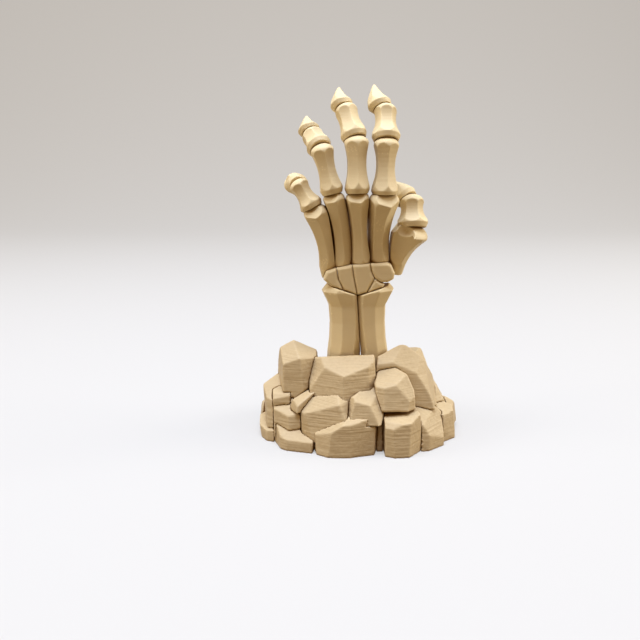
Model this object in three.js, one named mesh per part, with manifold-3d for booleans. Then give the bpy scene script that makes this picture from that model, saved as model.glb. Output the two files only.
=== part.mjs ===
// The skeleton of a left hand, seen from its back, rising out of a heap of boulders.
// It is a printed ornament about 120 mm tall, standing in this one pose.
// Millimetres, +Z up. The origin is the middle of the underside; the back of the hand faces -Y
// and the little finger is on the -X side.

import * as THREE from "three";
import { ConvexGeometry } from "three/addons/geometries/ConvexGeometry.js";
import { mergeVertices } from "three/addons/utils/BufferGeometryUtils.js";
import Module from "manifold-3d";

const wasm = await Module();
wasm.setup();

// Fits and facets

const seam = 0.3; // hairline between two pieces that meet
const weld = 1e-4; // points nearer than this are one
const turnedSides = 12; // facets round a turned bone
const domeSteps = 3; // rings in a knuckle's dome
const fluteSteps = 5; // facets along a flute
const clawSteps = 3; // facets along a claw's hollow
const far = 90; // reach of a cutting block, past the farthest piece from the origin

// Knuckles: each bone ends in a flattened ball, and the next one rides on it with a cupped rim

const boneFlutes = 6; // flutes round a bone, unless it has its own number
const knuckle = {
  domeShare: 0.7, // height of the ball's upper half to its radius
  rimFoot: 1.8, // lower edge of the rim above the ball's centre
  rimWidest: 3.3, // widest place of the rim, where the flutes begin
  rimInset: 0.3, // how much narrower the rim is at its lower edge
  fluteRise: 19, // degrees up the dome at which the flutes run out
};

// Metacarpals stand on the wrist: their foot runs into the carpals and is trimmed to them

const metacarpalFoot = {
  sunk: 2.6, // foot below its pivot, before it is trimmed
  widest: 1.4, // where the flutes begin above the pivot
  inset: 0.25, // how much narrower the foot is at its lower edge
};

// Each digit ends in a claw, hollowed along its facets

const claw = {
  fullAt: 0.5, // share of the length at which the claw is still nearly full
  fullShare: 0.8, // how full it is there, to its rim
  hollowShare: 0.7, // the same on the middle of a facet
  point: 0.35, // radius of its tip
};

// Each bone: length from pivot to pivot, lean to the right, flex towards the palm, and the turn
// of its flutes about its own axis, in degrees; then the radii of its rim, waist and ball.
// A bow is how far the middle of a bone swells to the right of its straight line.
// A cap is the slanted facet on the back of a metacarpal's ball: its turn, its slope and how far
// from the ball's centre it lies. A digit's foot is its first pivot, from the middle of the
// forearm's top edge.

const digits = {
  index: {
    foot: [7.5, 1, 10.6],
    metacarpal: {
      length: 21.9, lean: 0.1, flex: -15.9, twist: -11, rim: 2.95, waist: 2.95, ball: 4.7,
      cap: { turn: 18, slope: 40, out: 2.6 },
    },
    proximal: { length: 18.4, lean: 1.4, flex: 3.1, twist: -20, rim: 4.35, waist: 3, ball: 4.25 },
    middle: { length: 12.1, lean: 0.7, flex: 25.5, twist: 2, rim: 4.45, waist: 3.4, ball: 3.7 },
    distal: { length: 11.2, lean: -22, flex: 31.2, twist: 10, rim: 3.8, bow: -0.8 },
  },
  middle: {
    foot: [0.8, 0, 10],
    metacarpal: {
      length: 22.8, lean: -5.1, flex: -14, twist: 0, rim: 3.3, waist: 2.85, ball: 4.2,
      cap: { turn: -4, slope: 40, out: 2.3 },
    },
    proximal: { length: 18.7, lean: -1.1, flex: 3.1, twist: -26, rim: 4.1, waist: 3.35, ball: 4.1 },
    middle: { length: 12.1, lean: -17, flex: 27.1, twist: -14, rim: 4.3, waist: 3.5, ball: 3.7 },
    distal: { length: 10.5, lean: -15.9, flex: 34.7, twist: 10, rim: 3.7 },
  },
  ring: {
    foot: [-5.4, 0.5, 9.3],
    metacarpal: {
      length: 23.6, lean: -7.6, flex: -13.5, twist: 30, rim: 3, waist: 3.05, ball: 3.9,
      cap: { turn: -30, slope: 40, out: 2.3 },
    },
    proximal: { length: 16.5, lean: -14.6, flex: 3.5, twist: -22, rim: 3.9, waist: 3.1, ball: 3.9 },
    middle: { length: 8.8, lean: -32.3, flex: 47.6, twist: -12, rim: 4.2, waist: 3.65, ball: 3.6 },
    distal: { length: 9.2, lean: -17.8, flex: 36.8, twist: 10, rim: 3.5 },
  },
  little: {
    foot: [-10.3, 1.5, 8.7],
    metacarpal: {
      length: 20.7, lean: -15, flex: -15.4, twist: 30, rim: 3.3, waist: 3.4, ball: 4.2,
      bow: 0.9,
      cap: { turn: -20, slope: 40, out: 2.5 },
    },
    proximal: { length: 10.5, lean: -31.4, flex: 11, twist: -15, rim: 3.9, waist: 2.9, ball: 3.4 },
    middle: { length: 7.4, lean: -55.6, flex: 71.5, twist: -15, rim: 3.6, waist: 2.8, ball: 3 },
    distal: { length: 8.2, lean: -150, flex: 62, twist: 0, rim: 3 },
  },
  thumb: {
    foot: [13.6, 2.6, 9.7],
    metacarpal: {
      length: 13.6, lean: 19.7, flex: -29, twist: -12, rim: 3, waist: 5.2, ball: 5.7, flutes: 4,
    },
    proximal: { length: 10.8, lean: -1, flex: 13.4, twist: -6, rim: 4.9, waist: 3.8, ball: 4.1 },
    distal: { length: 14.3, lean: -47.6, flex: 41.6, twist: 0, rim: 3.9 },
  },
};

// Wrist: flat-faced pebbles side by side, drawn by the corners that they share, as seen from the
// back of the hand: [across, above the forearm's top edge]. Their lower ends lie along that edge.

const wrist = {
  back: -4.4, // depth of the pebbles on the back of the hand
  palm: 5.2, // and on the palm
  chamfer: 0.6,
};
const arm = {
  foot: 9, // height of the shafts' lower ends, inside the heap
  topEdge: 49.9, // height at which the two shafts of the forearm meet under the wrist
  topSlope: 19, // degrees that each shaft's top rises to the outside
};
const corner = {
  littleSide: [-12.3, 5.6],
  littleTop: [-11.3, 8.4],
  littleFoot: onArm(-9.6),
  hamateTop: [-7.7, 9.6],
  hamateSide: [-7.1, 5.7],
  hamateFoot: onArm(-5.3),
  middleTop: [-2.4, 10.7],
  middleSide: [-1.9, 7.1],
  middleFoot: onArm(-0.6),
  indexTop: [3.8, 11.1],
  indexSide: [4.2, 8.4],
  knee: [5.4, 6],
  wedgeFoot: onArm(2.8),
  wedgeOuterFoot: onArm(8.2),
  wedgeOuter: [9, 4],
  wedgeTop: [7.4, 4.7],
  thumbLow: [9.9, 4.6],
  thumbSide: [11.9, 5.8],
  thumbEdge: [12.3, 7.9],
  thumbShoulder: [11, 10.7],
  thumbTop: [9.6, 11.4],
};
const carpals = {
  triquetral: ["littleSide", "littleFoot", "hamateFoot", "hamateSide", "hamateTop", "littleTop"],
  hamate: ["hamateSide", "hamateFoot", "middleFoot", "middleSide", "middleTop", "hamateTop"],
  capitate: [
    "middleSide", "middleFoot", "wedgeFoot", "knee", "indexSide", "indexTop", "middleTop",
  ],
  scaphoid: ["knee", "wedgeFoot", "wedgeOuterFoot", "wedgeOuter", "wedgeTop"],
  trapezium: [
    "indexSide", "knee", "wedgeTop", "thumbLow", "thumbSide", "thumbEdge", "thumbShoulder",
    "thumbTop", "indexTop",
  ],
};

// Forearm: two eight-sided shafts side by side, lofted from their foot through sections. Each is
// its height above the top edge, its inner and outer edge from the middle of the arm, and half its
// depth.

const forearm = {
  sides: 8,
  turn: 9, // degrees that the facets are turned to the outside
};
const shafts = {
  ulna: {
    side: -1,
    foot: { inner: 1.6, outer: 11.6, deep: 4.7 },
    sections: [
      { above: -20.9, inner: 0.6, outer: 10.7, deep: 4.6 },
      { above: -9.9, inner: -0.1, outer: 9.7, deep: 4.4 },
      { above: -3.9, inner: -0.4, outer: 10.1, deep: 4.6 },
      { above: 1.1, inner: -0.6, outer: 12.4, deep: 5.6 },
      { above: 4.1, inner: -0.4, outer: 10.2, deep: 4.8 },
    ],
  },
  radius: {
    side: 1,
    foot: { inner: 1.4, outer: 11.6, deep: 4.7 },
    sections: [
      { above: -20.9, inner: 0.5, outer: 10.8, deep: 4.6 },
      { above: -9.9, inner: -0.1, outer: 9.4, deep: 4.4 },
      { above: -3.9, inner: -0.4, outer: 9.4, deep: 4.6 },
      { above: 1.6, inner: -0.6, outer: 12.1, deep: 5.6 },
      { above: 4.6, inner: -0.4, outer: 9.7, deep: 4.8 },
    ],
  },
};

// Boulders of the front: middle, reach of the hidden side across, to the rear and down, and the
// clean breaks that show, each by its bearing from the front, its rise and its distance from the
// middle.

const boulders = {
  front_slab: {
    at: [-4, -8, 22], reach: [14, 1.4, 11],
    breaks: [
      [-5, 56, 7.1], [-54, 26, 10.4], [-26, 13, 8.8], [16, 13, 8.3], [38, 12, 9.6],
      [88, 4, 9.8], [-86, 0, 13.2], [-167, 78, 7.2],
    ],
  },
  centre_left: {
    at: [-11.5, -13, 12], reach: [11, 6, 8],
    breaks: [
      [-38, 51, 6], [36, 57, 9], [-17, 12, 7.6], [39, 26, 10.4], [-40, 2, 9], [-76, 0, 9],
      [82, 0, 8.3],
    ],
  },
  centre_right: {
    at: [3.5, -14, 14.5], reach: [7, 6, 5],
    breaks: [
      [12, 60, 5.4], [-60, 20, 8.5], [-7, 17, 8], [45, 31, 5.5], [-90, 60, 6.3], [80, -5, 5.4],
    ],
  },
  front_toe: {
    at: [-5, -17, 6], reach: [12, 8, 8],
    breaks: [
      [-53, 54, 7.1], [-9, 62, 8], [-34, 11, 10], [-1, 9, 8.9], [16, 8, 9.1], [-78, 0, 10.8],
      [76, 0, 11.2],
    ],
  },
  front_right: {
    at: [13, -17, 6], reach: [7, 8, 8],
    breaks: [
      [-11, 73, 7], [-17, 49, 8.5], [-23, 7, 9.2], [6, 10, 8.8], [50, 5, 8.1], [-86, 0, 5.3],
    ],
  },
  front_wedge: {
    at: [6.5, -14, 5], reach: [5, 5, 6],
    breaks: [[-8, 70, 6], [0, 8, 7.2]],
  },
  right_low: {
    at: [21, -12, 6], reach: [8, 8, 8],
    breaks: [[24, 60, 6.2], [49, 30, 6.2], [40, 7, 8.1], [8, 11, 8.5]],
  },
  right_toe: {
    at: [28, -6, 5], reach: [7, 7, 7],
    breaks: [[29, 69, 6.1], [42, 11, 6.3], [-2, 15, 6.8], [37, 7, 6.6], [90, 5, 5.9]],
  },
  right_middle: {
    at: [12, -13, 21], reach: [8, 6, 7],
    breaks: [
      [-24, 64, 3.4], [-29, 15, 6.8], [1, 17, 5.6], [30, 34, 4.7], [43, 7, 7.6], [-82, 0, 7.1],
      [-85, 32, 6.4], [-120, 40, 6.8], [120, 45, 4.7], [100, 20, 4.9], [90, 5, 6.2],
    ],
  },
  step_left: {
    at: [-22.5, -13, 4], reach: [9, 8, 6],
    breaks: [[-15, 57, 3.9], [-70, 3, 6.1], [-38, 8, 7.2], [-15, 10, 7.7], [72, 0, 9.3]],
  },
  toe_left: {
    at: [-30, -6, 2.5], reach: [6, 8, 6],
    breaks: [[-44, 67, 3.2], [-60, 5, 5], [-21, 11, 6.7]],
  },
  slim: {
    at: [-18.5, -14, 16], reach: [6, 4, 4],
    breaks: [[-44, 63, 1.1], [33, 7, 2], [-66, 10, 3.7], [80, 10, 4.1], [-139, 30, 2.3]],
  },
  left_middle: {
    at: [-24.5, -11, 9], reach: [8, 6, 7],
    breaks: [[-17, 56, 4.4], [-35, 8, 4.8], [-3, 12, 6], [74, 0, 7.2], [-85, 0, 4.9]],
  },
  slab_left: {
    at: [-27, -9, 15], reach: [4, 5, 3],
    breaks: [[-31, 75, 2.3], [-19, 47, 2.7], [-6, 7, 3.4], [-84, 0, 2.8], [84, 0, 3.6]],
  },
  left_upper: {
    at: [-29, -3, 12], reach: [6, 7, 9],
    breaks: [[-27, 52, 5.7], [-70, 3, 4.8], [-32, 11, 6.7], [-124, 40, 6.4]],
  },
  tall_left: {
    at: [-21, -2, 19], reach: [8, 6, 16],
    breaks: [
      [-34, 50, 12.2], [42, 59, 12.2], [-10, 8, 9.7], [35, 12, 9.4], [-78, 2, 6.9], [86, 2, 6.8],
      [-139, 49, 11.5], [143, 54, 11],
    ],
  },
  tall_right: {
    at: [17, -3, 20], reach: [11, 7, 9.5],
    breaks: [
      [-9, 56, 11], [19, 44, 9.1], [0, 12, 8.8], [42, 30, 8.9], [74, 19, 8.4], [-135, 42, 9.4],
      [125, 42, 7.6],
    ],
  },
  crest_right: {
    at: [20, 4, 20], reach: [6, 5, 10],
    breaks: [[-20, 62, 8.5], [50, 50, 7.9], [83, 29, 6.8], [-10, 8, 7], [150, 50, 9]],
  },
  right_small: {
    at: [27, -1, 12], reach: [5, 5, 6],
    breaks: [[30, 34, 4.2], [86, 29, 3.3]],
  },
};

// Boulders of the rear: two rows round the back of the heap, shaped by a fixed draw of chance

const stone = {
  sway: 9, // degrees that a rough face may turn
  tilt: 7, // degrees that it may tilt
  round: [
    { rise: -90, facings: [0] },
    { rise: -40, facings: [0, 72, 144, 216, 288] },
    { rise: 8, facings: [20, 72, 124, 176, 228, 280, 332] },
    { rise: 48, facings: [40, 130, 220, 310] },
    { rise: 88, facings: [0] },
  ],
  hidden: [
    { rise: -90, facings: [0] },
    { rise: -25, facings: [120, 180, 240] },
    { rise: 4, facings: [100, 145, 180, 215, 260] },
    { rise: 48, facings: [130, 180, 230] },
  ],
};
const rear = {
  rows: [
    { name: "rear_low", count: 7, from: 6, to: 174, across: 28, deep: 17, up: 4.5, size: 8 },
    { name: "rear_high", count: 5, from: 20, to: 160, across: 19, deep: 9, up: 15.5, size: 8.5 },
  ],
  squat: 0.85, // height of a boulder to its width
  vary: 0.16, // how much sizes and heights differ
};
const seeds = { rearPlaces: 11, roughFaces: 100 };

// Core: a low mound in the middle of the heap, which holds the forearm and backs the boulders

const heap = {
  sides: 10,
  across: 19, // half the core's width on the ground
  deep: 13, // half its depth
  shoulder: { out: 0.82, up: 14 }, // share of the ground width, and height
  crown: { out: 0.55, up: 25 },
};

// Finish: one matt plastic throughout, a shade greyer on the boulders

const boneColour = new THREE.Color("#e3d0a6");
const stoneColour = new THREE.Color("#dfcaa2");
const plasticRoughness = 0.6;

// Small helpers

function radians(degrees) {
  return (degrees * Math.PI) / 180;
}

// A fixed run of numbers from 0 to 1, the same every time.
function draw(seed) {
  let count = seed;
  return () => THREE.MathUtils.seededRandom(count++);
}

// A corner on the line along the forearm's top, where the wrist stands.
function onArm(across) {
  return [across, Math.abs(across) * Math.tan(radians(arm.topSlope))];
}

// The way a face looks: turned from the front to the right, and raised from level.
function bearing(turn, rise) {
  return new THREE.Vector3(
    Math.sin(radians(turn)) * Math.cos(radians(rise)),
    -Math.cos(radians(turn)) * Math.cos(radians(rise)),
    Math.sin(radians(rise)),
  );
}

function solidOf(geometry) {
  const shell = geometry.clone();
  shell.deleteAttribute("normal");
  shell.deleteAttribute("uv");
  const merged = mergeVertices(shell, weld);
  const corners = merged.index.array;
  const kept = [];
  for (let i = 0; i < corners.length; i += 3) {
    const [a, b, c] = [corners[i], corners[i + 1], corners[i + 2]];
    if (a !== b && b !== c && c !== a) kept.push(a, b, c);
  }
  return new wasm.Manifold(
    new wasm.Mesh({
      numProp: 3,
      vertProperties: merged.attributes.position.array,
      triVerts: Uint32Array.from(kept),
    }),
  );
}

function geometryOf(solid) {
  const mesh = solid.getMesh();
  const geometry = new THREE.BufferGeometry();
  geometry.setAttribute("position", new THREE.BufferAttribute(mesh.vertProperties, 3));
  geometry.setIndex(new THREE.BufferAttribute(mesh.triVerts, 1));
  return geometry;
}

function moved(solid, matrix) {
  return solidOf(geometryOf(solid).applyMatrix4(matrix));
}

function largestOf(solid) {
  return solid.decompose().sort((a, b) => b.volume() - a.volume())[0];
}

// The block on the far side of a plane, for cutting a facet.
function beyond(normal, distance) {
  const block = new THREE.BoxGeometry(2 * far, 2 * far, 2 * far);
  block.translate(0, 0, far + distance);
  block.applyQuaternion(new THREE.Quaternion().setFromUnitVectors(new THREE.Vector3(0, 0, 1), normal));
  return solidOf(block);
}

// The convex stone that a set of planes encloses: each is a normal and a distance from the middle.
function enclosed(planes) {
  const points = [];
  const slack = 1e-6;
  const meet = new THREE.Matrix3();
  for (let i = 0; i < planes.length; i++) {
    for (let j = i + 1; j < planes.length; j++) {
      for (let k = j + 1; k < planes.length; k++) {
        const [a, b, c] = [planes[i], planes[j], planes[k]];
        meet.set(...a.normal, ...b.normal, ...c.normal);
        if (Math.abs(meet.determinant()) < slack) continue;
        const point = new THREE.Vector3(a.out, b.out, c.out).applyMatrix3(meet.invert());
        if (planes.every((plane) => plane.normal.dot(point) <= plane.out + slack)) {
          points.push(point);
        }
      }
    }
  }
  return solidOf(new ConvexGeometry(points));
}

const sculpture = new THREE.Group();

// Puts a solid in the scene as a mesh of its own, trimmed clear of the given neighbours. Both the
// solid and its envelope, the space its neighbours keep out of, are in the piece's own frame.
function place(parent, name, pose, solid, envelope, neighbours, colour) {
  const mesh = new THREE.Mesh();
  mesh.name = name;
  mesh.position.copy(pose.position);
  mesh.quaternion.copy(pose.quaternion);
  parent.add(mesh);
  mesh.updateWorldMatrix(true, false);
  let body = moved(solid, mesh.matrixWorld);
  for (const neighbour of neighbours) body = body.subtract(neighbour);
  body = moved(largestOf(body), mesh.matrixWorld.clone().invert());
  mesh.geometry = geometryOf(body).toNonIndexed();
  mesh.geometry.computeVertexNormals();
  mesh.material = new THREE.MeshStandardMaterial({
    name: name + "_plastic", color: colour, roughness: plasticRoughness, metalness: 0,
  });
  return moved(envelope, mesh.matrixWorld);
}

function poseOf(position, lean = 0, flex = 0, twist = 0) {
  const turn = new THREE.Euler(radians(-flex), radians(lean), radians(twist), "YXZ");
  return { position, quaternion: new THREE.Quaternion().setFromEuler(turn) };
}

// Bones of the digits

// A bone's blank: turned from its foot to the top of its ball. It stands up +Z from its pivot.
function turnedBlank(profile) {
  const points = profile.map(([out, up]) => new THREE.Vector2(out, up));
  return solidOf(new THREE.LatheGeometry(points, turnedSides).rotateX(Math.PI / 2));
}

function footOf(isMetacarpal) {
  return isMetacarpal
    ? { low: -metacarpalFoot.sunk, widest: metacarpalFoot.widest, inset: metacarpalFoot.inset }
    : { low: knuckle.rimFoot, widest: knuckle.rimWidest, inset: knuckle.rimInset };
}

function barbellProfile({ length, rim, ball }, foot, grow = 0) {
  const profile = [
    [0, foot.low - grow],
    [rim - foot.inset + grow, foot.low - grow],
    [rim + grow, foot.widest],
    [ball + grow, length],
  ];
  for (let step = 1; step <= domeSteps; step++) {
    const rise = (step / domeSteps) * (Math.PI / 2);
    profile.push([
      step === domeSteps ? 0 : (ball + grow) * Math.cos(rise),
      length + (ball * knuckle.domeShare + grow) * Math.sin(rise),
    ]);
  }
  return profile;
}

function clawProfile({ length, rim }, foot, grow = 0) {
  return [
    [0, foot.low - grow],
    [rim - foot.inset + grow, foot.low - grow],
    [rim + grow, foot.widest],
    [rim * claw.fullShare + grow, length * claw.fullAt],
    [claw.point + grow, length - claw.point + grow],
    [0, length + grow],
  ];
}

// The cutter of one flute: everything outside a long shallow curve from start through middle to
// end, each given as [out, up], straight across the bone.
function fluteCutter(start, middle, end, steps) {
  const bend = [0, 1].map((i) => 2 * middle[i] - (start[i] + end[i]) / 2);
  const outline = new THREE.Shape();
  outline.moveTo(far, start[1]);
  outline.lineTo(start[0], start[1]);
  outline.quadraticCurveTo(bend[0], bend[1], end[0], end[1]);
  outline.lineTo(far, end[1]);
  const slab = new THREE.ExtrudeGeometry(outline, {
    depth: 2 * far, bevelEnabled: false, curveSegments: steps,
  });
  return slab.translate(0, 0, -far).rotateX(Math.PI / 2);
}

// Cuts the flutes round a blank, the first one facing the front.
function fluted(blank, count, [start, middle, end], steps) {
  const cutter = fluteCutter(start, middle, end, steps).rotateZ(-Math.PI / 2);
  let body = blank;
  for (let k = 0; k < count; k++) {
    body = body.subtract(solidOf(cutter));
    cutter.rotateZ((2 * Math.PI) / count);
  }
  return body;
}

// Bends a bone to its bow: the ends stay, and the middle moves to the right of the line.
function bowed(solid, { bow = 0, length, twist }) {
  if (bow === 0) return solid;
  const geometry = geometryOf(solid);
  const points = geometry.attributes.position;
  for (let i = 0; i < points.count; i++) {
    const share = THREE.MathUtils.clamp(points.getZ(i) / length, 0, 1);
    const shift = 4 * bow * share * (1 - share);
    points.setX(i, points.getX(i) + shift * Math.cos(radians(twist)));
    points.setY(i, points.getY(i) - shift * Math.sin(radians(twist)));
  }
  return solidOf(geometry);
}

function barbell(bone, isMetacarpal) {
  const foot = footOf(isMetacarpal);
  const count = bone.flutes ?? boneFlutes;
  const rise = radians(knuckle.fluteRise);
  const end = [
    bone.ball * Math.cos(rise),
    bone.length + bone.ball * knuckle.domeShare * Math.sin(rise),
  ];
  const start = [bone.rim, foot.widest];
  const middle = [bone.waist * Math.cos(Math.PI / count), (start[1] + end[1]) / 2];
  const curve = [start, middle, end];
  let solid = fluted(turnedBlank(barbellProfile(bone, foot)), count, curve, fluteSteps);
  if (bone.cap) {
    const facet = bearing(bone.cap.turn - bone.twist, 90 - bone.cap.slope);
    solid = solid.subtract(beyond(facet, bone.cap.out + facet.z * bone.length));
  }
  return {
    solid: bowed(solid, bone),
    envelope: bowed(turnedBlank(barbellProfile(bone, foot, seam)), bone),
  };
}

function clawBone(bone) {
  const foot = footOf(false);
  const start = [bone.rim, foot.widest];
  const middle = [bone.rim * claw.hollowShare, bone.length * claw.fullAt];
  const end = [claw.point * Math.cos(Math.PI / boneFlutes), bone.length];
  const blank = turnedBlank(clawProfile(bone, foot));
  return {
    solid: bowed(fluted(blank, boneFlutes, [start, middle, end], clawSteps), bone),
    envelope: bowed(turnedBlank(clawProfile(bone, foot, seam)), bone),
  };
}

function addDigit(name, digit, neighbours) {
  const group = new THREE.Group();
  sculpture.add(group);
  const pivot = new THREE.Vector3(...digit.foot);
  pivot.z += arm.topEdge;
  for (const part of ["metacarpal", "proximal", "middle", "distal"]) {
    const bone = digit[part];
    if (!bone) continue;
    const shape = part === "distal" ? clawBone(bone) : barbell(bone, part === "metacarpal");
    const pose = poseOf(pivot.clone(), bone.lean, bone.flex, bone.twist);
    const envelope = place(
      group, name + "_" + part, pose, shape.solid, shape.envelope, neighbours, boneColour,
    );
    neighbours.push(envelope);
    pivot.add(new THREE.Vector3(0, 0, bone.length).applyQuaternion(pose.quaternion));
  }
}

// Wrist and forearm

// A pebble drawn in the plane of the hand, chamfered front and back. Neighbours share a line, so
// each stands back from it by half the seam.
function pebble(corners, grow = 0) {
  const outline = new THREE.Shape(corners.map(([x, up]) => new THREE.Vector2(x, arm.topEdge + up)));
  const thick = wrist.palm - wrist.back + 2 * grow;
  const stone = new THREE.ExtrudeGeometry(outline, {
    depth: thick - 2 * wrist.chamfer,
    bevelThickness: wrist.chamfer,
    bevelSize: wrist.chamfer,
    bevelOffset: grow - wrist.chamfer - seam / 2,
    bevelSegments: 1,
  });
  stone.rotateX(Math.PI / 2);
  stone.translate(0, wrist.palm + grow - wrist.chamfer, 0);
  return solidOf(stone);
}

// A solid through sections of the same number of points, closed at both ends.
function loft(rings) {
  const sides = rings[0].length;
  const points = rings.flat();
  const triangles = [];
  for (let ring = 0; ring < rings.length - 1; ring++) {
    for (let side = 0; side < sides; side++) {
      const a = ring * sides + side;
      const b = ring * sides + ((side + 1) % sides);
      triangles.push(a, b, b + sides, a, b + sides, a + sides);
    }
  }
  const top = points.length - sides;
  for (let side = 1; side < sides - 1; side++) {
    triangles.push(0, side + 1, side);
    triangles.push(top, top + side, top + side + 1);
  }
  const geometry = new THREE.BufferGeometry().setFromPoints(points);
  geometry.setIndex(triangles);
  return solidOf(geometry);
}

function shaft({ side, foot, sections }, grow = 0) {
  const lowest = { above: arm.foot - arm.topEdge, ...foot };
  const rings = [lowest, ...sections].map(({ above, inner, outer, deep }) => {
    const ring = [];
    for (let k = 0; k < forearm.sides; k++) {
      const angle = (2 * Math.PI * (k + 0.5)) / forearm.sides + side * radians(forearm.turn);
      const half = (outer - inner) / 2 + grow;
      const middle = (side * (outer + inner)) / 2;
      const full = Math.cos(Math.PI / forearm.sides);
      ring.push(
        new THREE.Vector3(
          middle + (half * Math.cos(angle)) / full,
          ((deep + grow) * Math.sin(angle)) / full,
          arm.topEdge + above,
        ),
      );
    }
    return ring;
  });
  const top = bearing(-side * 90, 90 - arm.topSlope);
  const middle = bearing(-side * 90, 0);
  return loft(rings)
    .subtract(beyond(top, top.z * arm.topEdge + grow - seam / 2))
    .subtract(beyond(middle, grow - seam / 2));
}

// Boulders

// The rough faces of a stone, each touching an egg of the given reach. Facing is where the face
// looks from the front to the right, and where a stone shows, those on its front are left out.
function roughFaces(reach, hiddenOnly, chance) {
  const faces = [];
  const rows = hiddenOnly ? stone.hidden : stone.round;
  for (const { rise, facings } of rows) {
    for (const facing of facings) {
      const sway = 2 * chance() - 1;
      const normal = bearing(facing + sway * stone.sway, rise + sway * stone.tilt);
      const out = normal.clone().multiply(new THREE.Vector3(...reach)).length();
      faces.push({ normal, out });
    }
  }
  return faces;
}

function boulder({ at, reach, breaks = [] }, chance) {
  const faces = roughFaces(reach, breaks.length > 0, chance);
  for (const [turn, rise, out] of breaks) faces.push({ normal: bearing(turn, rise), out });
  const ground = { normal: new THREE.Vector3(0, 0, -1), out: at[2] };
  const grown = faces.map(({ normal, out }) => ({ normal, out: out + seam }));
  return {
    solid: enclosed([...faces, ground]),
    envelope: enclosed([...grown, { normal: ground.normal, out: ground.out + seam }]),
  };
}

function rearBoulders() {
  const stones = {};
  const chance = draw(seeds.rearPlaces);
  for (const row of rear.rows) {
    for (let k = 0; k < row.count; k++) {
      const share = row.count > 1 ? k / (row.count - 1) : 0;
      const angle = radians(row.from + (row.to - row.from) * share);
      const size = row.size * (1 + rear.vary * (2 * chance() - 1));
      const lift = 1 + rear.vary * (2 * chance() - 1);
      stones[row.name + "_" + (k + 1)] = {
        at: [row.across * Math.cos(angle), row.deep * Math.sin(angle), row.up * lift],
        reach: [size, size, size * rear.squat],
      };
    }
  }
  return stones;
}

function coreSolid() {
  const profile = [
    [0, 0],
    [1, 0],
    [heap.shoulder.out, heap.shoulder.up],
    [heap.crown.out, heap.crown.up],
    [0, heap.crown.up],
  ];
  const points = profile.map(([out, up]) => new THREE.Vector2(out, up));
  const mound = new THREE.LatheGeometry(points, heap.sides).rotateX(Math.PI / 2);
  return solidOf(mound.scale(heap.across, heap.deep, 1));
}

// Assembly, from the forearm up and then the heap round its foot

const upright = poseOf(new THREE.Vector3());
const armEnvelopes = Object.entries(shafts).map(([name, spec]) =>
  place(sculpture, name, upright, shaft(spec), shaft(spec, seam), [], boneColour),
);
const wristBones = Object.entries(carpals).map(([name, names]) => {
  const corners = names.map((key) => corner[key]);
  return place(sculpture, name, upright, pebble(corners), pebble(corners, seam), [], boneColour);
});
const handNeighbours = [...armEnvelopes, ...wristBones];
for (const name of ["middle", "index", "ring", "little", "thumb"]) {
  addDigit(name, digits[name], handNeighbours);
}

const heapNeighbours = [...armEnvelopes];
const everyBoulder = Object.entries({ ...boulders, ...rearBoulders() });
everyBoulder.forEach(([name, spec], order) => {
  const shape = boulder(spec, draw(seeds.roughFaces + order));
  const pose = poseOf(new THREE.Vector3(...spec.at));
  heapNeighbours.push(
    place(sculpture, name, pose, shape.solid, shape.envelope, heapNeighbours, stoneColour),
  );
});
const core = coreSolid();
place(sculpture, "heap_core", upright, core, core, heapNeighbours, stoneColour);

export default sculpture;
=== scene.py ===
import math

import bpy
from mathutils import Euler, Matrix, Vector


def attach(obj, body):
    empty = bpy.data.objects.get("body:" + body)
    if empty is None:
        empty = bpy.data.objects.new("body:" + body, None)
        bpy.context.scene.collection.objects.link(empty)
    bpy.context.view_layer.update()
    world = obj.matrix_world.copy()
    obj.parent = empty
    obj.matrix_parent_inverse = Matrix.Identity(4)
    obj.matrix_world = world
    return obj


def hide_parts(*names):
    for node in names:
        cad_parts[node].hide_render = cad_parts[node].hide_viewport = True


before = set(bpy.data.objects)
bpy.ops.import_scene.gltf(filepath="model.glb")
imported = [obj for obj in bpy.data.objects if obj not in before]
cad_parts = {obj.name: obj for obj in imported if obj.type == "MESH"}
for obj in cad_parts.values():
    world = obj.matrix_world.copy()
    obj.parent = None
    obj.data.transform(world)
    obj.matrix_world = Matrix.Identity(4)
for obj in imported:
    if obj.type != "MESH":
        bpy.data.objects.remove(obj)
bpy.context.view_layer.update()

# The skeleton of a left hand rising out of a heap of boulders, printed in a matt cream plastic.
# Pieces are shaped in millimetres at their place and brought to metres when they are finished.

millimetre = 0.001
weld = {"copy": 0.001, "cut": 0.002}    # corners nearer than this are one, in millimetres


# Small helpers

def leaveEdit():
    if bpy.context.object and bpy.context.object.mode != "OBJECT":
        bpy.ops.object.mode_set(mode="OBJECT")


def pick(piece):
    leaveEdit()
    bpy.ops.object.select_all(action="DESELECT")
    piece.select_set(True)
    bpy.context.view_layer.objects.active = piece


def editAll(piece):
    pick(piece)
    bpy.ops.object.mode_set(mode="EDIT")
    bpy.ops.mesh.select_all(action="SELECT")


def modify(piece, kind, **settings):
    pick(piece)
    modifier = piece.modifiers.new(kind.lower(), kind)
    for key, value in settings.items():
        setattr(modifier, key, value)
    bpy.ops.object.modifier_apply(modifier=modifier.name)


def discard(*pieces):
    leaveEdit()
    for piece in pieces:
        bpy.data.objects.remove(piece)


def cutAway(piece, cutter):
    modify(piece, "BOOLEAN", operation="DIFFERENCE", solver="EXACT", object=cutter)


def rangeOf(piece):
    corners = [v.co for v in piece.data.vertices]
    return [(min(c[i] for c in corners), max(c[i] for c in corners)) for i in range(3)]


def meets(piece, other):
    return all(
        low <= otherHigh and otherLow <= high
        for (low, high), (otherLow, otherHigh) in zip(rangeOf(piece), rangeOf(other))
    )


def reach(piece):
    return sum(high - low for low, high in rangeOf(piece))


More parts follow.
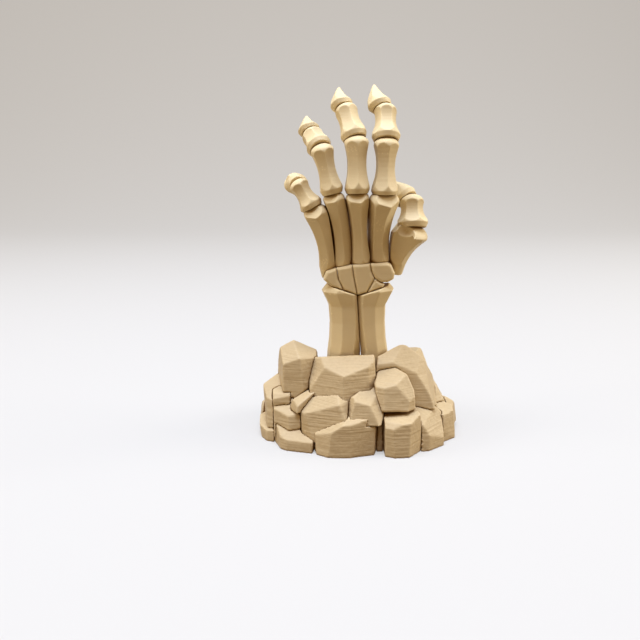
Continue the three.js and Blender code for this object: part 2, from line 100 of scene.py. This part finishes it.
def largestShell(piece):
    editAll(piece)
    bpy.ops.mesh.separate(type="LOOSE")
    leaveEdit()
    shells = sorted(bpy.context.selected_objects, key=reach)
    kept = shells.pop()
    discard(*shells)
    return kept


def bearing(turn, rise):
    across = math.cos(math.radians(rise))
    angle = math.radians(turn)
    return Vector((math.sin(angle) * across, -math.cos(angle) * across, math.sin(math.radians(rise))))


# Materials, their lengths in millimetres

bonePrint = {
    "name": "matt_cream_bone",
    "colour": (0.75, 0.62, 0.365),
    "bandStrength": 0.2,
    "creviceShadeReach": 2.5,    # how near another face must come to paint shade in a crevice
}
# the stones' colour is the bone plastic's darkened by about a quarter: painted shade for the heap, which lies
# low and catches less light
stonePrint = {
    "name": "matt_cream_stone",
    "colour": (0.56, 0.44, 0.255),
    "bandStrength": 0.6,
    "creviceShadeReach": 5,
}
finish = {
    "roughness": 0.52,
    "specular": 0.25,
    "patchShades": (0.94, 1.05),
    "patchScale": 160,
    "edgeRange": (0.44, 0.58),        # pointiness from the deepest groove to the sharpest edge
    # painted shade in the grooves and a painted highlight on sharp edges, set by pointiness
    "edgeShadeAndHighlightTints": [(0, (0.72, 0.58, 0.45)), (0.43, (1, 1, 1)), (1, (1.16, 1.18, 1.22))],
    # painted shade in crevices and between parts, from ambient occlusion
    "creviceShadeTints": [(0.2, (0.4, 0.25, 0.13)), (0.62, (1, 1, 1))],
    "creviceSamples": 6,
    "layerStep": 0.4,                 # from one printed edge that shows to the next, two layers
    "layerDepth": 0.035,
    "layerStrength": 0.35,
    "bandScale": (60, 60, 1500),
    "bandDepth": 0.3,
    "grainScale": 900,
    "grainDepth": 0.05,
    "grainStrength": 0.2,
}


def addNode(tree, kind, **values):
    node = tree.nodes.new(kind)
    for socket, value in values.items():
        node.inputs[socket].default_value = value
    return node


def noise(tree, place, scale, detail):
    node = addNode(tree, "ShaderNodeTexNoise", Scale=scale, Detail=detail)
    tree.links.new(place, node.inputs["Vector"])
    return node.outputs["Fac"]


def ramp(tree, value, stops):
    node = addNode(tree, "ShaderNodeValToRGB")
    elements = node.color_ramp.elements
    for element, (position, tint) in zip(elements, (stops[0], stops[-1])):
        element.position = position
        element.color = (*tint, 1)
    for position, tint in stops[1:-1]:
        elements.new(position).color = (*tint, 1)
    tree.links.new(value, node.inputs["Fac"])
    return node.outputs["Color"]


def multiply(tree, first, second):
    node = addNode(tree, "ShaderNodeMix")
    node.data_type = "RGBA"
    node.blend_type = "MULTIPLY"
    node.inputs["Factor"].default_value = 1
    tree.links.new(first, node.inputs["A"])
    tree.links.new(second, node.inputs["B"])
    return node.outputs["Result"]


def bump(tree, height, strength, depth, normal=None):
    node = addNode(tree, "ShaderNodeBump", Strength=strength, Distance=depth * millimetre)
    tree.links.new(height, node.inputs["Height"])
    if normal:
        tree.links.new(normal, node.inputs["Normal"])
    return node.outputs["Normal"]


def printedPlastic(look):
    material = bpy.data.materials.new(look["name"])
    material.use_nodes = True
    tree = material.node_tree
    shader = tree.nodes["Principled BSDF"]
    shader.inputs["Roughness"].default_value = finish["roughness"]
    shader.inputs["Specular IOR Level"].default_value = finish["specular"]
    place = addNode(tree, "ShaderNodeTexCoord").outputs["Object"]

    # colour: faint cloudy patches, a painted highlight along sharp edges, painted shade in the grooves and in
    # the crevices
    patches = addNode(tree, "ShaderNodeMix")
    patches.data_type = "RGBA"
    for socket, shade in zip("AB", finish["patchShades"]):
        patches.inputs[socket].default_value = (*[c * shade for c in look["colour"]], 1)
    tree.links.new(noise(tree, place, finish["patchScale"], 3), patches.inputs["Factor"])
    form = addNode(tree, "ShaderNodeNewGeometry")
    edges = addNode(tree, "ShaderNodeMapRange")
    edges.inputs["From Min"].default_value, edges.inputs["From Max"].default_value = finish["edgeRange"]
    tree.links.new(form.outputs["Pointiness"], edges.inputs["Value"])
    # painted shade in the grooves and a painted highlight along sharp edges
    edgeHighlightGrooveShade = multiply(tree, patches.outputs["Result"], ramp(tree, edges.outputs["Result"], finish["edgeShadeAndHighlightTints"]))
    # painted shade in the crevices and the slits between parts, from ambient occlusion
    creviceShade = addNode(tree, "ShaderNodeAmbientOcclusion", Distance=look["creviceShadeReach"] * millimetre)
    creviceShade.samples = finish["creviceSamples"]
    deep = multiply(tree, edgeHighlightGrooveShade, ramp(tree, creviceShade.outputs["AO"], finish["creviceShadeTints"]))
    tree.links.new(deep, shader.inputs["Base Color"])

    # bump: the edges of the printed layers, stronger in some bands than in others, over a fine grain
    layers = addNode(tree, "ShaderNodeTexWave", Scale=math.tau / (20 * finish["layerStep"] * millimetre))
    layers.wave_type = "BANDS"
    layers.bands_direction = "Z"
    layers.wave_profile = "SAW"
    tree.links.new(place, layers.inputs["Vector"])
    stretch = addNode(tree, "ShaderNodeMapping", Scale=finish["bandScale"])
    tree.links.new(place, stretch.inputs["Vector"])
    bands = noise(tree, stretch.outputs["Vector"], 1, 2)
    grain = noise(tree, place, finish["grainScale"], 4)
    normal = bump(tree, layers.outputs["Fac"], finish["layerStrength"], finish["layerDepth"])
    normal = bump(tree, bands, look["bandStrength"], finish["bandDepth"], normal)
    normal = bump(tree, grain, finish["grainStrength"], finish["grainDepth"], normal)
    tree.links.new(normal, shader.inputs["Normal"])
    return material


bonePlastic = printedPlastic(bonePrint)
stonePlastic = printedPlastic(stonePrint)


def complete(piece, node, material):
    piece.name = node + "_shape"
    piece.data.name = piece.name
    piece.data.materials.clear()
    piece.data.materials.append(material)
    piece.data.transform(Matrix.Scale(millimetre, 4))
    pick(piece)
    bpy.ops.object.shade_smooth()
    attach(piece, "root")
    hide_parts(node)


# Softens a crisp solid the way a print comes out: even small faces, swollen a little, and edges
# rounded by smoothing.
def soften(piece, voxel, passes, swell):
    editAll(piece)
    bpy.ops.mesh.remove_doubles(threshold=weld["cut"])
    bpy.ops.mesh.fill_holes(sides=0)
    bpy.ops.mesh.select_all(action="SELECT")
    bpy.ops.mesh.normals_make_consistent(inside=False)
    leaveEdit()
    modify(piece, "REMESH", mode="VOXEL", voxel_size=voxel)
    modify(piece, "DISPLACE", strength=swell, mid_level=0)
    modify(piece, "SMOOTH", factor=0.5, iterations=passes)


def cadCopy(node):
    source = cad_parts[node]
    piece = source.copy()
    piece.data = source.data.copy()
    piece.parent = None
    for key in list(piece.keys()):
        del piece[key]
    bpy.context.scene.collection.objects.link(piece)
    piece.data.transform(Matrix.Scale(1 / millimetre, 4))
    editAll(piece)
    bpy.ops.mesh.remove_doubles(threshold=weld["copy"])
    leaveEdit()
    return piece


# Forearm: two eight-sided shafts drawn up from the heap through sections, each its height above
# the forearm's top edge, its inner and outer edge from the middle of the arm and half its depth

armTop = 49.9
seam = 0.26    # between a ball and its cup, and round the wrist's pebbles
forearm = {
    "sides": 8, "turn": -9, "topSlope": 19,
    "creaseAcross": -0.6, "creaseLean": 4.5, "gap": 0.17,    # the parting line between the shafts
}
armLook = {"voxel": 0.22, "passes": 2, "swell": 0.1}
ulna = {
    "side": -1,
    "sections": [
        (-40.9, 0.6, 11.2, 4.7), (-20.9, -0.6, 10.4, 4.6), (-15.9, -1.2, 9.8, 4.5), (-9.9, -1.2, 9.6, 4.4),
        (-3.9, -1, 10.1, 4.6), (1.1, -0.6, 12.4, 5.6), (4.1, -0.4, 10.2, 4.8),
    ],
}
radius = {
    "side": 1,
    "sections": [
        (-40.9, 2.2, 11.4, 4.7), (-20.9, 1.1, 10.5, 4.6), (-15.9, 0.4, 9.7, 4.5), (-9.9, -0.4, 9.3, 4.4),
        (-3.9, -1, 9.4, 4.6), (1.6, -1.4, 12.1, 5.6), (4.6, -1.2, 9.7, 4.8),
    ],
}


def trimBeyond(piece, point, normal):
    editAll(piece)
    bpy.ops.mesh.bisect(plane_co=point, plane_no=normal, use_fill=True, clear_outer=True)
    leaveEdit()


def shapeShaft(shaft):
    side = shaft["side"]
    spread = math.pi / forearm["sides"]
    leaveEdit()
    bpy.ops.object.select_all(action="DESELECT")
    bpy.ops.mesh.primitive_circle_add(
        vertices=forearm["sides"], radius=1 / math.cos(spread), fill_type="NGON",
        rotation=(0, 0, spread + side * math.radians(forearm["turn"])),
    )
    bpy.ops.object.transform_apply(rotation=True)
    piece = bpy.context.object
    bpy.ops.object.mode_set(mode="EDIT")
    at, size = (0, 0, 0), (1, 1)
    for count, (rise, inner, outer, deep) in enumerate(shaft["sections"]):
        nextAt = (side * (inner + outer) / 2, 0, armTop + rise)
        nextSize = ((outer - inner) / 2, deep)
        step = [b - a for a, b in zip(at, nextAt)]
        if count == 0:
            bpy.ops.transform.translate(value=step)
        else:
            bpy.ops.mesh.extrude_region_move(TRANSFORM_OT_translate={"value": step})
        grow = (nextSize[0] / size[0], nextSize[1] / size[1], 1)
        bpy.ops.transform.resize(value=grow, center_override=nextAt)
        at, size = nextAt, nextSize
    bpy.ops.mesh.select_all(action="SELECT")
    bpy.ops.mesh.normals_make_consistent(inside=False)
    leaveEdit()
    top = bearing(-side * 90, 90 - forearm["topSlope"])
    trimBeyond(piece, Vector((0, 0, armTop)) - top * forearm["gap"], top)
    crease = bearing(-side * 90, -side * forearm["creaseLean"])
    trimBeyond(piece, Vector((forearm["creaseAcross"], 0, armTop)) - crease * forearm["gap"], crease)
    return piece


armBones = {"ulna": ulna, "radius": radius}
for node, shaft in armBones.items():
    bone = shapeShaft(shaft)
    soften(bone, armLook["voxel"], armLook["passes"], armLook["swell"])
    complete(bone, node, bonePlastic)
print("forearm done")


# Wrist: the frame's own pebbles, softened

wristBones = ["triquetral", "hamate", "capitate", "scaphoid", "trapezium"]
wristLook = {"voxel": 0.16, "passes": 7, "swell": 0.13}
cutterLook = {"voxel": 0.3, "passes": 1}
carpalCutters = []
for node in wristBones:
    cutter = cadCopy(node)
    soften(cutter, cutterLook["voxel"], cutterLook["passes"], seam)
    carpalCutters.append(cutter)
    bone = cadCopy(node)
    soften(bone, wristLook["voxel"], wristLook["passes"], wristLook["swell"])
    complete(bone, node, bonePlastic)
print("wrist done")


# Bones of the digits

turning = {
    "sides": 48, "bowSteps": 8, "domeSteps": 8, "fluteSteps": 10, "clawSteps": 8,
    "tip": 0.02,    # radius of the last ring on a ball
    "far": 60,      # how far a flute's cutter reaches
}
boneLook = {"voxel": 0.15, "passes": 2, "swell": 0.07}
boneFlutes = 6
knuckle = {"domeShare": 0.7, "fluteRise": 15}
cupFoot = {"low": 1.8, "widest": 3.3, "inset": 0.6}           # of a bone that seats on a ball
metacarpalFoot = {"low": -2.6, "widest": 1.4, "inset": 0.25}  # of one that seats on the wrist
claw = {"fullAt": 0.5, "fullShare": 0.8, "hollowShare": 0.7, "point": 0.35}
touch = 0.04   # what bones of neighbouring fingers keep clear of each other

# Each bone: length, lean to the right, flex to the palm, turn of its flutes, then the radii of its
# rim, waist and ball. A bow is the swell of its middle to the right. A cap is a slanted facet of
# the ball: turn, slope, distance out. Uncut flutes are left full, counted from the front one to
# the right.
index = {
    "foot": (7.4, 1, 10.6),
    "metacarpal": dict(length=22.4, lean=1.2, flex=-15.5, twist=-5, rim=3.3, waist=3.15, ball=5.05,
                       bow=-1.15, uncut=[2, 4], cap=(18, 40, 2.9)),
    "proximal": dict(length=17.9, lean=1.4, flex=3.2, twist=-20, rim=4.35, waist=3.15, ball=4.15),
    "middle": dict(length=12.1, lean=-0.5, flex=25.5, twist=2, rim=4.65, waist=3.45, ball=3.7),
    "distal": dict(length=11.4, lean=-20.8, flex=30.5, twist=10, rim=3.9, bow=-1.1),
}
ring = {
    "foot": (-5.4, 0.5, 9.3),
    "metacarpal": dict(length=24.4, lean=-8.1, flex=-13, twist=40, rim=3.05, waist=2.7, ball=3.6,
                       bow=0.6, uncut=[1, 3], cap=(-30, 40, 2.1)),
    "proximal": dict(length=15.7, lean=-14.2, flex=3.7, twist=-22, rim=3.8, waist=3.1, ball=3.9),
    "middle": dict(length=8.8, lean=-32.3, flex=47.6, twist=-12, rim=4.2, waist=3.65, ball=3.6),
    "distal": dict(length=9.2, lean=-17.8, flex=36.8, twist=10, rim=3.65, bow=-0.7),
}
middle = {
    "foot": (0.8, 0, 10),
    "metacarpal": dict(length=23.7, lean=-4.6, flex=-13.4, twist=-15, rim=3.3, waist=2.7, ball=3.95,
                       bow=-0.12, uncut=[2, 4], cap=(-4, 40, 2.3)),
    "proximal": dict(length=17.7, lean=-1.5, flex=3.2, twist=-26, rim=4.1, waist=3.35, ball=4.1),
    "middle": dict(length=12.1, lean=-17, flex=27, twist=-14, rim=4.3, waist=3.5, ball=3.7),
    "distal": dict(length=10.5, lean=-16, flex=34.9, twist=10, rim=3.7, bow=-1),
}
little = {
    "foot": (-10.3, 1.5, 8.7),
    "metacarpal": dict(length=20.7, lean=-12.7, flex=-15.4, twist=30, rim=3.3, waist=3.4, ball=4.2,
                       bow=0.9, uncut=[2], cap=(-20, 40, 2.5)),
    "proximal": dict(length=10.5, lean=-32.5, flex=11, twist=-15, rim=3.9, waist=2.9, ball=3.4),
    "middle": dict(length=7.4, lean=-55.6, flex=71.5, twist=-15, rim=3.6, waist=2.8, ball=3),
    "distal": dict(length=8.2, lean=-150, flex=62, twist=0, rim=3),
}
# The thumb's metacarpal: a flatter dome, a deeper front flute (its radius at the middle and at
# the top), a cap towards the index finger, a scoop in the back of its ball (across, out and up
# from the ball's centre, then the radius), and a seat to the right of that centre.
thumb = {
    "foot": (13.6, 2.6, 9.7),
    "metacarpal": dict(length=13, lean=17.1, flex=-19.8, twist=-12, rim=3, waist=4.6, ball=6.2,
                       bow=-1, dome=0.45, front=(2.4, 3.2), seat=1, cap=(-90, 72, 4.6),
                       scoop=(-3, 5.6, 1.9, 4.3)),
    "proximal": dict(length=10.3, lean=-2.3, flex=15.3, twist=-6, rim=5.2, waist=3.8, ball=4.1),
    "distal": dict(length=14, lean=-48, flex=38.5, twist=0, rim=4.1),
}


# A round blank standing up from its pivot: a disc extruded and scaled from ring to ring.
def turnedBlank(rings):
    leaveEdit()
    bpy.ops.object.select_all(action="DESELECT")
    radius, height = rings[0]
    bpy.ops.mesh.primitive_circle_add(vertices=turning["sides"], radius=radius, fill_type="NGON")
    blank = bpy.context.object
    bpy.ops.object.mode_set(mode="EDIT")
    bpy.ops.transform.translate(value=(0, 0, height))
    for nextRadius, nextHeight in rings[1:]:
        rise = (0, 0, nextHeight - height)
        bpy.ops.mesh.extrude_region_move(TRANSFORM_OT_translate={"value": rise})
        share = nextRadius / radius
        bpy.ops.transform.resize(value=(share, share, 1), center_override=(0, 0, nextHeight))
        radius, height = nextRadius, nextHeight
    bpy.ops.mesh.select_all(action="SELECT")
    bpy.ops.mesh.normals_make_consistent(inside=False)
    leaveEdit()
    return blank


def footOf(part):
    return metacarpalFoot if part == "metacarpal" else cupFoot


def domeOf(bone):
    return bone["ball"] * bone.get("dome", knuckle["domeShare"])


# Rings of a bone from its foot to the top of its ball. Grown, they make the room that it needs.
def barbellRings(bone, part, grow=0.0):
    foot = footOf(part)
    length, rim, ball = bone["length"], bone["rim"], bone["ball"]
    rings = [(rim - foot["inset"] + grow, foot["low"] - grow)]
    for step in range(turning["bowSteps"] + 1):
        share = step / turning["bowSteps"]
        height = foot["widest"] + (length - foot["widest"]) * share
        rings.append((rim + (ball - rim) * share + grow, height))
    for step in range(1, turning["domeSteps"] + 1):
        rise = step / turning["domeSteps"] * math.pi / 2
        across = max(turning["tip"], (ball + grow) * math.cos(rise))
        rings.append((across, length + (domeOf(bone) + grow) * math.sin(rise)))
    return rings


def clawRings(bone, grow=0.0):
    rim, length = bone["rim"], bone["length"]
    return [
        (rim - cupFoot["inset"] + grow, cupFoot["low"] - grow),
        (rim + grow, cupFoot["widest"]),
        (rim * claw["fullShare"] + grow, length * claw["fullAt"]),
        (claw["point"] + grow, length - claw["point"] + grow),
    ]


# The cutter of one flute: a sheet on a shallow curve from start through waist to end, straight
# across the bone and thickened outwards.
def fluteCutter(start, waist, end, steps):
    leaveEdit()
    bpy.ops.object.select_all(action="DESELECT")
    bpy.ops.mesh.primitive_grid_add(x_subdivisions=steps, y_subdivisions=1, size=2)
    cutter = bpy.context.object
    bend = [2 * waist[i] - (start[i] + end[i]) / 2 for i in (0, 1)]
    bend[1] = max(bend[1], start[1])
    wide = turning["far"]
    for vertex in cutter.data.vertices:
        t = (vertex.co.x + 1) / 2
        side = vertex.co.y
        out, up = [
            (1 - t) ** 2 * start[i] + 2 * t * (1 - t) * bend[i] + t ** 2 * end[i] for i in (0, 1)
        ]
        vertex.co = (out, side * wide, up)
    editAll(cutter)
    bpy.ops.mesh.extrude_region_move(TRANSFORM_OT_translate={"value": (wide, 0, 0)})
    bpy.ops.mesh.select_all(action="SELECT")
    bpy.ops.mesh.normals_make_consistent(inside=False)
    leaveEdit()
    return cutter


def cutFlutes(blank, bone, start, waist, end, steps):
    for k in range(boneFlutes):
        if k in bone.get("uncut", []):
            continue
        through, top = waist, end
        if k == 0 and "front" in bone:
            through, top = [(out, at[1]) for out, at in zip(bone["front"], (waist, end))]
        cutter = fluteCutter(start, through, top, steps)
        cutter.rotation_euler.z = math.tau * k / boneFlutes - math.pi / 2
        cutAway(blank, cutter)
        discard(cutter)


def bow(piece, bone):
    swell = bone.get("bow", 0)
    turn = math.radians(bone["twist"])
    for vertex in piece.data.vertices:
        share = min(1, max(0, vertex.co.z / bone["length"]))
        shift = 4 * swell * share * (1 - share)
        vertex.co.x += shift * math.cos(turn)
        vertex.co.y -= shift * math.sin(turn)


def slantBall(blank, bone):
    turn, slope, out = bone["cap"]
    facet = bearing(turn - bone["twist"], 90 - slope)
    trimBeyond(blank, facet * out + Vector((0, 0, bone["length"])), facet)


def scoopBall(blank, bone):
    across, out, up, size = bone["scoop"]
    untwist = Matrix.Rotation(-math.radians(bone["twist"]), 4, "Z")
    bpy.ops.object.select_all(action="DESELECT")
    bpy.ops.mesh.primitive_uv_sphere_add(
        segments=turning["sides"], ring_count=turning["sides"] // 2, radius=size,
        location=untwist @ Vector((across, -out, bone["length"] + up)),
    )
    hollow = bpy.context.object
    cutAway(blank, hollow)
    discard(hollow)


def shapeBarbell(bone, part):
    rise = math.radians(knuckle["fluteRise"])
    start = (bone["rim"], footOf(part)["widest"])
    end = (bone["ball"] * math.cos(rise), bone["length"] + domeOf(bone) * math.sin(rise))
    waist = (bone["waist"] * math.cos(math.pi / boneFlutes), (start[1] + end[1]) / 2)
    blank = turnedBlank(barbellRings(bone, part))
    cutFlutes(blank, bone, start, waist, end, turning["fluteSteps"])
    if "cap" in bone:
        slantBall(blank, bone)
    if "scoop" in bone:
        scoopBall(blank, bone)
    return blank


def shapeClaw(bone):
    rim, length = bone["rim"], bone["length"]
    start = (rim, cupFoot["widest"])
    waist = (rim * claw["hollowShare"], length * claw["fullAt"])
    end = (claw["point"] * math.cos(math.pi / boneFlutes), length)
    blank = turnedBlank(clawRings(bone))
    cutFlutes(blank, bone, start, waist, end, turning["clawSteps"])
    return blank


# The bone itself, the socket that it needs in its own finger's next bones, and the outline that
# the other fingers' bones keep clear of
def turnBone(bone, part):
    if part == "distal":
        return shapeClaw(bone), *[turnedBlank(clawRings(bone, grow)) for grow in (seam, touch)]
    return shapeBarbell(bone, part), *[turnedBlank(barbellRings(bone, part, grow)) for grow in (seam, touch)]


def addDigit(name, digit, neighbours):
    pivot = Vector(digit["foot"]) + Vector((0, 0, armTop))
    sockets, outlines = [], []
    for part in ["metacarpal", "proximal", "middle", "distal"]:
        if part not in digit:
            continue
        bone = digit[part]
        shape, socket, outline = turnBone(bone, part)
        lean, flex, twist = [math.radians(bone[key]) for key in ("lean", "flex", "twist")]
        turn = Matrix.Rotation(lean, 4, "Y") @ Matrix.Rotation(-flex, 4, "X") @ Matrix.Rotation(twist, 4, "Z")
        for piece in (shape, socket, outline):
            bow(piece, bone)
            piece.data.transform(Matrix.Translation(pivot) @ turn)
        for neighbour in neighbours + sockets:
            if meets(shape, neighbour):
                cutAway(shape, neighbour)
        shape = largestShell(shape)
        soften(shape, boneLook["voxel"], boneLook["passes"], boneLook["swell"])
        complete(shape, name + "_" + part, bonePlastic)
        sockets.append(socket)
        outlines.append(outline)
        pivot = pivot + turn @ Vector((0, 0, bone["length"])) + Vector((bone.get("seat", 0), 0, 0))
    discard(*sockets)
    neighbours.extend(outlines)
    print(name, "done")


neighbours = list(carpalCutters)
hand = {"index": index, "ring": ring, "middle": middle, "little": little, "thumb": thumb}
for name, digit in hand.items():
    addDigit(name, digit, neighbours)
discard(*neighbours)


# Boulders: the frame's stones, softened and made a little uneven

stoneLook = {
    "voxel": 0.32, "passes": 2, "swell": 0.1,
    "uneven": 0.24, "lumps": 4.5,      # depth and width of the broad unevenness
    "chipDepth": 0.1, "chips": 1.1,    # and of the small chips
}
handNodes = [*armBones, *wristBones, *[name + "_" + part for name in hand for part in hand[name]]]
boulders = [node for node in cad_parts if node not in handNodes]
# breaks that the frame's stones lack: a point on each, its bearing and its rise
trims = {
    "crest_right": [((17.3, 4.0, 27.8), -90, 83), ((24.0, 2.0, 27.1), 90, 15)],
    "left_upper": [((-33.6, -6.0, 17.9), -90, -6)],
    "toe_left": [((-35.1, -9.0, 5.6), -90, -10)],
    "right_toe": [((33.8, -8.0, 10.3), 90, 2)],
}


def clouds(name, width):
    texture = bpy.data.textures.new(name, "CLOUDS")
    texture.noise_scale = width
    return texture


def shapeBoulder(node, reliefs):
    rock = cadCopy(node)
    for point, turn, rise in trims.get(node, []):
        trimBeyond(rock, point, bearing(turn, rise))
    soften(rock, stoneLook["voxel"], stoneLook["passes"], stoneLook["swell"])
    for texture, depth in reliefs:
        modify(rock, "DISPLACE", texture=texture, strength=depth, mid_level=0.5, texture_coords="LOCAL")
    for vertex in rock.data.vertices:
        vertex.co.z = max(vertex.co.z, 0)
    return rock


reliefs = [
    (clouds("lumps", stoneLook["lumps"]), stoneLook["uneven"]),
    (clouds("chips", stoneLook["chips"]), stoneLook["chipDepth"]),
]
for node in boulders:
    complete(shapeBoulder(node, reliefs), node, stonePlastic)
print("boulders done")


# Stage: a pale sweep, soft lamps and the camera, in metres

backdrop = {"size": 4, "forward": 0.6, "height": 2.5, "curve": 0.8, "curveSteps": 24}
paper = {
    "roughness": 0.9,
    "specular": 0.1,
    "lit": (0.22, 0.17, 0.105),    # the light that it throws back on the sculpture
    "seen": (0.3, 0.3, 0.298),     # what shows of it, under a pale glow that only shows
    "glow": (0.42, 0.417, 0.405),
}


def stageSweep():
    leaveEdit()
    bpy.ops.object.select_all(action="DESELECT")
    bpy.ops.mesh.primitive_plane_add(size=backdrop["size"], location=(0, -backdrop["forward"], 0))
    sweep = bpy.context.object
    sweep.name = "sweep"
    bpy.ops.object.transform_apply(location=True)
    bpy.ops.object.mode_set(mode="EDIT")
    bpy.ops.mesh.select_all(action="DESELECT")
    leaveEdit()
    for edge in sweep.data.edges:
        ends = [sweep.data.vertices[i].co for i in edge.vertices]
        edge.select = all(end.y > 0 for end in ends)
    bpy.ops.object.mode_set(mode="EDIT")
    bpy.ops.mesh.select_mode(type="EDGE")
    bpy.ops.mesh.extrude_region_move(TRANSFORM_OT_translate={"value": (0, 0, backdrop["height"])})
    leaveEdit()
    for edge in sweep.data.edges:
        ends = [sweep.data.vertices[i].co for i in edge.vertices]
        edge.select = all(end.y > 0 and end.z < backdrop["height"] / 2 for end in ends)
    bpy.ops.object.mode_set(mode="EDIT")
    bpy.ops.mesh.bevel(offset=backdrop["curve"], segments=backdrop["curveSteps"])
    leaveEdit()
    bpy.ops.object.shade_smooth()
    return sweep


def sweepPaper():
    material = bpy.data.materials.new("pale_paper")
    material.use_nodes = True
    tree = material.node_tree
    shader = tree.nodes["Principled BSDF"]
    shader.inputs["Roughness"].default_value = paper["roughness"]
    shader.inputs["Specular IOR Level"].default_value = paper["specular"]
    rays = addNode(tree, "ShaderNodeLightPath")
    shows = rays.outputs["Is Camera Ray"]
    for kind in ("Is Glossy Ray", "Is Transmission Ray"):
        either = addNode(tree, "ShaderNodeMath")
        either.operation = "MAXIMUM"
        tree.links.new(shows, either.inputs[0])
        tree.links.new(rays.outputs[kind], either.inputs[1])
        shows = either.outputs["Value"]
    colour = addNode(tree, "ShaderNodeMix")
    colour.data_type = "RGBA"
    colour.inputs["A"].default_value = (*paper["lit"], 1)
    colour.inputs["B"].default_value = (*paper["seen"], 1)
    tree.links.new(shows, colour.inputs["Factor"])
    tree.links.new(colour.outputs["Result"], shader.inputs["Base Color"])
    shader.inputs["Emission Color"].default_value = (*paper["glow"], 1)
    tree.links.new(shows, shader.inputs["Emission Strength"])
    return material


sweep = stageSweep()
sweep.data.materials.append(sweepPaper())

lamps = {
    "overhead": dict(
        at=(-0.05, -0.05, 0.75), aim=(0, 0, 0.05), size=0.5, power=9.4, colour=(0.73, 0.82, 1),
    ),
    "left": dict(
        at=(-0.75, -0.1, 0.4), aim=(0, 0, 0.06), size=0.4, power=2.6, colour=(1, 0.93, 0.82),
    ),
    "right": dict(
        at=(0.75, 0.05, 0.35), aim=(0, 0, 0.06), size=0.4, power=4.2, colour=(1, 0.95, 0.86),
    ),
}


def addLamp(name, lamp):
    light = bpy.data.lights.new(name, "AREA")
    light.size = lamp["size"]
    light.energy = lamp["power"]
    light.color = lamp["colour"]
    holder = bpy.data.objects.new(name, light)
    bpy.context.scene.collection.objects.link(holder)
    holder.location = lamp["at"]
    aim = Vector(lamp["aim"]) - Vector(lamp["at"])
    holder.rotation_euler = aim.to_track_quat("-Z", "Y").to_euler()


for name, lamp in lamps.items():
    addLamp(name, lamp)

# warm light from all round, which shows as a pale wall
room = {"light": (1, 0.56, 0.17), "strength": 0.32, "wall": (0.66, 0.655, 0.65)}


def addRoom():
    world = bpy.data.worlds.new("studio")
    bpy.context.scene.world = world
    world.use_nodes = True
    tree = world.node_tree
    ambient = tree.nodes["Background"]
    ambient.inputs["Color"].default_value = (*room["light"], 1)
    ambient.inputs["Strength"].default_value = room["strength"]
    wall = addNode(tree, "ShaderNodeBackground", Color=(*room["wall"], 1))
    rays = addNode(tree, "ShaderNodeLightPath")
    either = addNode(tree, "ShaderNodeMixShader")
    tree.links.new(rays.outputs["Is Camera Ray"], either.inputs["Fac"])
    tree.links.new(ambient.outputs["Background"], either.inputs[1])
    tree.links.new(wall.outputs["Background"], either.inputs[2])
    tree.links.new(either.outputs["Shader"], tree.nodes["World Output"].inputs["Surface"])


addRoom()

view = {"at": (-0.0134, -0.2355, 0.099), "tilt": 76, "lens": 38.6, "sensor": 36, "nearest": 0.01}
cameraData = bpy.data.cameras.new("camera")
cameraData.lens = view["lens"]
cameraData.sensor_width = view["sensor"]
cameraData.clip_start = view["nearest"]
camera = bpy.data.objects.new("camera", cameraData)
bpy.context.scene.collection.objects.link(camera)
camera.location = view["at"]
camera.rotation_euler = Euler((math.radians(view["tilt"]), 0, 0))
bpy.context.scene.camera = camera
bpy.context.scene.view_settings.view_transform = "Standard"
print("stage done")
